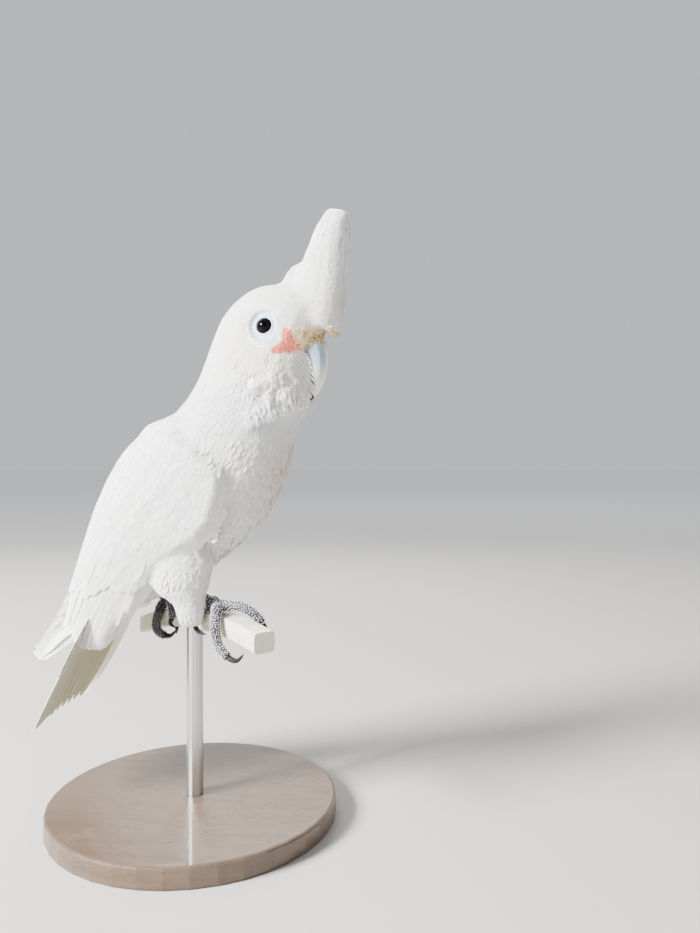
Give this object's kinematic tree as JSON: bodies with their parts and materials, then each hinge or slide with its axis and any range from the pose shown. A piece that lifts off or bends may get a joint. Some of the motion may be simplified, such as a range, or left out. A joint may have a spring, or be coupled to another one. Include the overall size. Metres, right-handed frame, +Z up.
{
  "type": "goffin's cockatoo display model",
  "caption": "Life-size still model of a perched white cockatoo with raised crest and folded wings, its feet gripping a short bar on a plain round display stand.",
  "frame": {"origin": "centre of the flat underside of the display stand's base", "axes": "+X the way the bird's body faces, +Y the bird's left, +Z up"},
  "size_m": [0.2105, 0.17, 0.3575],
  "materials": {
    "white_feathers": "matte",
    "cream_feathers": "matte",
    "tail_feathers": "matte",
    "dark_eye": "gloss",
    "grey_horn": "satin",
    "scaly_skin": "matte",
    "black_claw": "satin",
    "bar_paint": "satin",
    "stand_wood": "satin",
    "rod_steel": "satin"
  },
  "bodies": {
    "root": {"trunk": "white_feathers", "neck": "white_feathers", "head": "white_feathers", "crest": "cream_feathers", "eye_left": "dark_eye", "eye_right": "dark_eye", "beak_upper": "grey_horn", "beak_lower": "grey_horn", "wing_left": "white_feathers", "wing_right": "white_feathers", "tail": "tail_feathers", "leg_left": "white_feathers", "leg_right": "white_feathers", "foot_left": "scaly_skin", "foot_right": "scaly_skin", "claw_left_1": "black_claw", "claw_left_2": "black_claw", "claw_left_3": "black_claw", "claw_left_4": "black_claw", "claw_right_1": "black_claw", "claw_right_2": "black_claw", "claw_right_3": "black_claw", "claw_right_4": "black_claw", "perch": "bar_paint", "stand_base": "stand_wood", "stand_rod": "rod_steel"}
  },
  "joints": []
}
